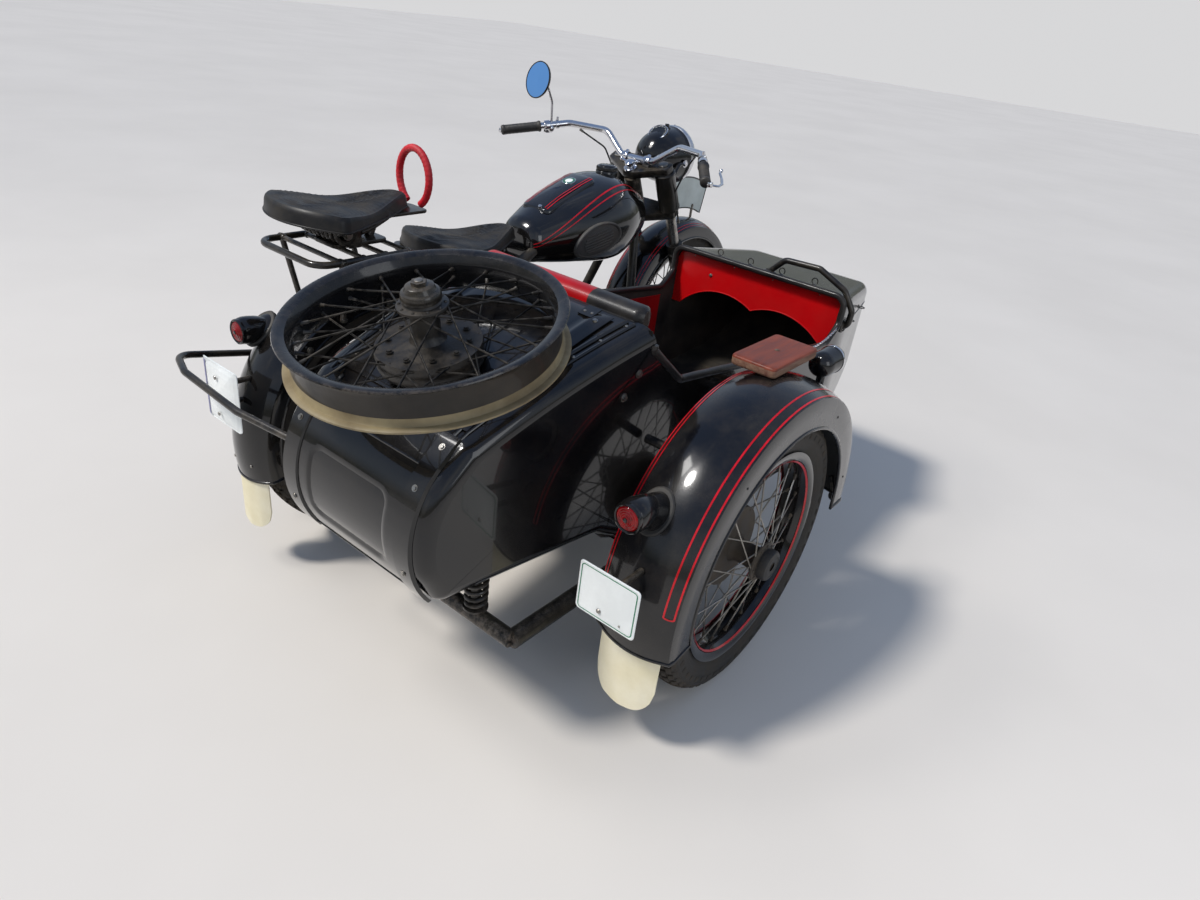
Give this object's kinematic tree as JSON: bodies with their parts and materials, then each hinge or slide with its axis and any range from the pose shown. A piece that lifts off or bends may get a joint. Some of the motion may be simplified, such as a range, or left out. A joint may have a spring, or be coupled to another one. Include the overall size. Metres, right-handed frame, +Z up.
{
  "type": "sidecar motorcycle",
  "caption": "Pre-war style flat-twin motorcycle with a boat-shaped sidecar on its right, a spare wire wheel on its boot lid, rubber saddles and blank plates.",
  "frame": {"origin": "on the ground under the middle of the outfit's bounding box", "axes": "+X forward, +Y to the rider's left, +Z up; the three wheels stand on z = 0"},
  "size_m": [2.3307, 1.5528, 1.1739],
  "materials": {
    "black_paint": "gloss",
    "tyre_rubber": "matte",
    "dusty_paint": "satin",
    "black_rubber": "matte",
    "bright_chrome": "polished",
    "bare_alloy": "satin",
    "red_vinyl": "satin",
    "dark_vinyl": "satin",
    "white_plate": "gloss",
    "cream_rubber": "matte",
    "brown_wood": "satin"
  },
  "bodies": {
    "root": {"body_springs": "black_paint", "cockpit_trim": "black_rubber", "cylinders": "bare_alloy", "dash_panel": "red_vinyl", "engine_block": "bare_alloy", "exhausts": "bright_chrome", "filler_cap": "black_rubber", "final_drive": "black_paint", "footrests": "black_rubber", "frame": "black_paint", "front_lamp": "black_paint", "fuel_tank": "black_paint", "gearbox": "bare_alloy", "grab_hoop": "red_vinyl", "grab_rail": "black_paint", "knee_pads": "black_rubber", "mud_flaps": "cream_rubber", "number_plates": "white_plate", "pillion_saddle": "black_rubber", "rear_bumper": "black_paint", "rear_fender": "black_paint", "rear_panel": "black_paint", "rear_rack": "black_paint", "rider_saddle": "black_rubber", "saddle_mounts": "black_paint", "seat_back": "dark_vinyl", "seat_cushion": "dark_vinyl", "side_linings": "red_vinyl", "sidecar_chassis": "black_paint", "sidecar_cowl": "black_paint", "sidecar_fender": "black_paint", "sidecar_tub": "black_paint", "tail_lamps": "black_paint", "tank_lid": "black_paint", "wood_pad": "brown_wood"},
    "steering": {"fork_legs": "black_paint", "fork_yokes": "black_paint", "handlebar": "bright_chrome", "grips": "black_rubber", "control_cables": "black_rubber", "headlamp": "black_paint", "mirror": "bright_chrome", "front_fender": "black_paint", "front_plate": "white_plate"},
    "front_wheel_body": {"front_wheel": "black_paint", "front_tyre": "tyre_rubber"},
    "rear_wheel_body": {"rear_wheel": "black_paint", "rear_tyre": "tyre_rubber"},
    "sidecar_wheel_body": {"sidecar_wheel": "black_paint", "sidecar_tyre": "tyre_rubber"},
    "boot_lid_body": {"boot_lid": "black_paint", "spare_wheel": "dusty_paint", "spare_carrier": "black_paint"},
    "stand_body": {"centre_stand": "black_paint"}
  },
  "joints": [
    {"name": "steering_head", "type": "hinge", "parent": "root", "child": "steering", "pos_m": [0.52905, 0.354, 0.74583], "axis": [-0.454, 0, 0.891], "range_deg": [-30, 30]},
    {"name": "front_wheel_spin", "type": "hinge", "parent": "steering", "child": "front_wheel_body", "pos_m": [0.805, 0.354, 0.332], "axis": [0, 1, 0], "continuous": true},
    {"name": "rear_wheel_spin", "type": "hinge", "parent": "root", "child": "rear_wheel_body", "pos_m": [-0.595, 0.354, 0.332], "axis": [0, 1, 0], "continuous": true},
    {"name": "sidecar_wheel_spin", "type": "hinge", "parent": "root", "child": "sidecar_wheel_body", "pos_m": [-0.39, -0.696, 0.332], "axis": [0, 1, 0], "continuous": true},
    {"name": "boot_lid_hinge", "type": "hinge", "parent": "root", "child": "boot_lid_body", "pos_m": [-0.596, -0.237, 0.834], "axis": [0, 1, 0], "range_deg": [0, 50]},
    {"name": "stand_hinge", "type": "hinge", "parent": "root", "child": "stand_body", "pos_m": [-0.15, 0.354, 0.1477], "axis": [0, -1, 0], "range_deg": [0, 40]}
  ]
}
